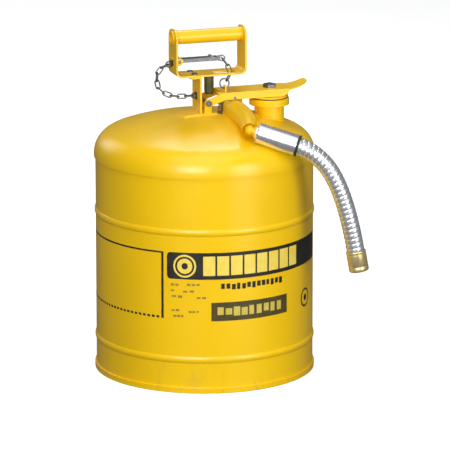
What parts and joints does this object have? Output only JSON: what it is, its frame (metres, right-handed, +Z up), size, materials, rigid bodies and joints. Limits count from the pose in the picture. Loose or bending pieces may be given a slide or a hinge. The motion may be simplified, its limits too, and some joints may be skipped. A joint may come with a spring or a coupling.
{
  "type": "safety gas can",
  "caption": "Round steel safety can with domed top, sprung filling lid on a lever, squeeze trigger in a looped handle, chains and a flexible metal pour hose with a brass end.",
  "frame": {"origin": "centre of the base on the floor", "axes": "+Z up, +X the way the lever points, -Y the side on which the hose leaves"},
  "size_m": [0.3219, 0.3388, 0.467],
  "materials": {
    "powder_yellow": "gloss powder coat",
    "zinc_steel": "bright zinc plate",
    "chrome": "polished",
    "hose_steel": "interlocked strip, satin",
    "brass": "satin",
    "black_rubber": "matte",
    "stop_rubber": "matte",
    "screen_steel": "woven screen"
  },
  "bodies": {
    "can": {"body_shell": "powder_yellow", "bottom_pan": "powder_yellow", "top_dome": "powder_yellow", "pour_manifold": "powder_yellow", "fill_neck": "powder_yellow", "base_plate": "powder_yellow", "handle_stem": "powder_yellow", "handle_loop": "powder_yellow", "handle_grip": "powder_yellow", "handle_rivets": "zinc_steel", "lever_pivot_pin": "zinc_steel", "pivot_clips": "zinc_steel", "closing_spring": "zinc_steel", "spring_anchor": "zinc_steel", "valve_spring": "zinc_steel", "trigger_pin": "zinc_steel", "keeper_chain": "zinc_steel", "chain_eye": "zinc_steel", "arrester_ring": "zinc_steel", "swivel_nut": "chrome", "hose_collar": "chrome", "flexible_hose": "hose_steel", "hose_end_ferrule": "brass", "valve_bushing": "brass", "collar_ring": "black_rubber", "lever_stop": "stop_rubber", "fill_arrester": "screen_steel", "pour_arrester": "screen_steel"},
    "lever": {"lever": "powder_yellow", "lift_pin": "zinc_steel", "lever_lug": "powder_yellow", "lid_cap": "powder_yellow", "lid_gasket": "black_rubber", "lid_nut": "zinc_steel", "relief_spring": "zinc_steel"},
    "relief": {"relief_plunger": "zinc_steel"},
    "valve": {"valve_rod": "zinc_steel", "valve_poppet": "zinc_steel", "valve_gasket": "black_rubber"},
    "trigger": {"trigger_bar": "zinc_steel"},
    "pull": {"pull_chain": "zinc_steel", "pull_ring": "zinc_steel"}
  },
  "joints": [
    {"name": "lid_lift", "type": "hinge", "parent": "can", "child": "lever", "pos_m": [0, 0, 0.367], "axis": [0, -1, 0], "range_deg": [0, 24], "stiffness_Nm_per_rad": 1.2, "springref_deg": -17.19, "deforming": ["closing_spring"]},
    {"name": "trigger_squeeze", "type": "hinge", "parent": "can", "child": "trigger", "pos_m": [-0.037, 0, 0.424], "axis": [0, -1, 0], "range_deg": [0, 7.6]},
    {"name": "pull_chain_swing", "type": "hinge", "parent": "trigger", "child": "pull", "pos_m": [0.025, 0, 0.424], "axis": [0, -1, 0], "range_deg": [-20.6, 0]},
    {"name": "pour_valve", "type": "slide", "parent": "can", "child": "valve", "axis": [0, 0, 1], "range_m": [0, 0.0146], "deforming": ["valve_spring"]},
    {"name": "relief_slide", "type": "slide", "parent": "lever", "child": "relief", "axis": [0, 0, -1], "range_m": [0, 0.002], "stiffness_N_per_m": 300, "springref_m": -0.001, "deforming": ["relief_spring"]}
  ],
  "couplings": [
    {"joint": "trigger_squeeze", "follows": "lid_lift", "ratio": 0.315},
    {"joint": "pull_chain_swing", "follows": "lid_lift", "ratio": -0.855},
    {"joint": "pour_valve", "follows": "lid_lift", "m_per_rad": 0.03466}
  ]
}
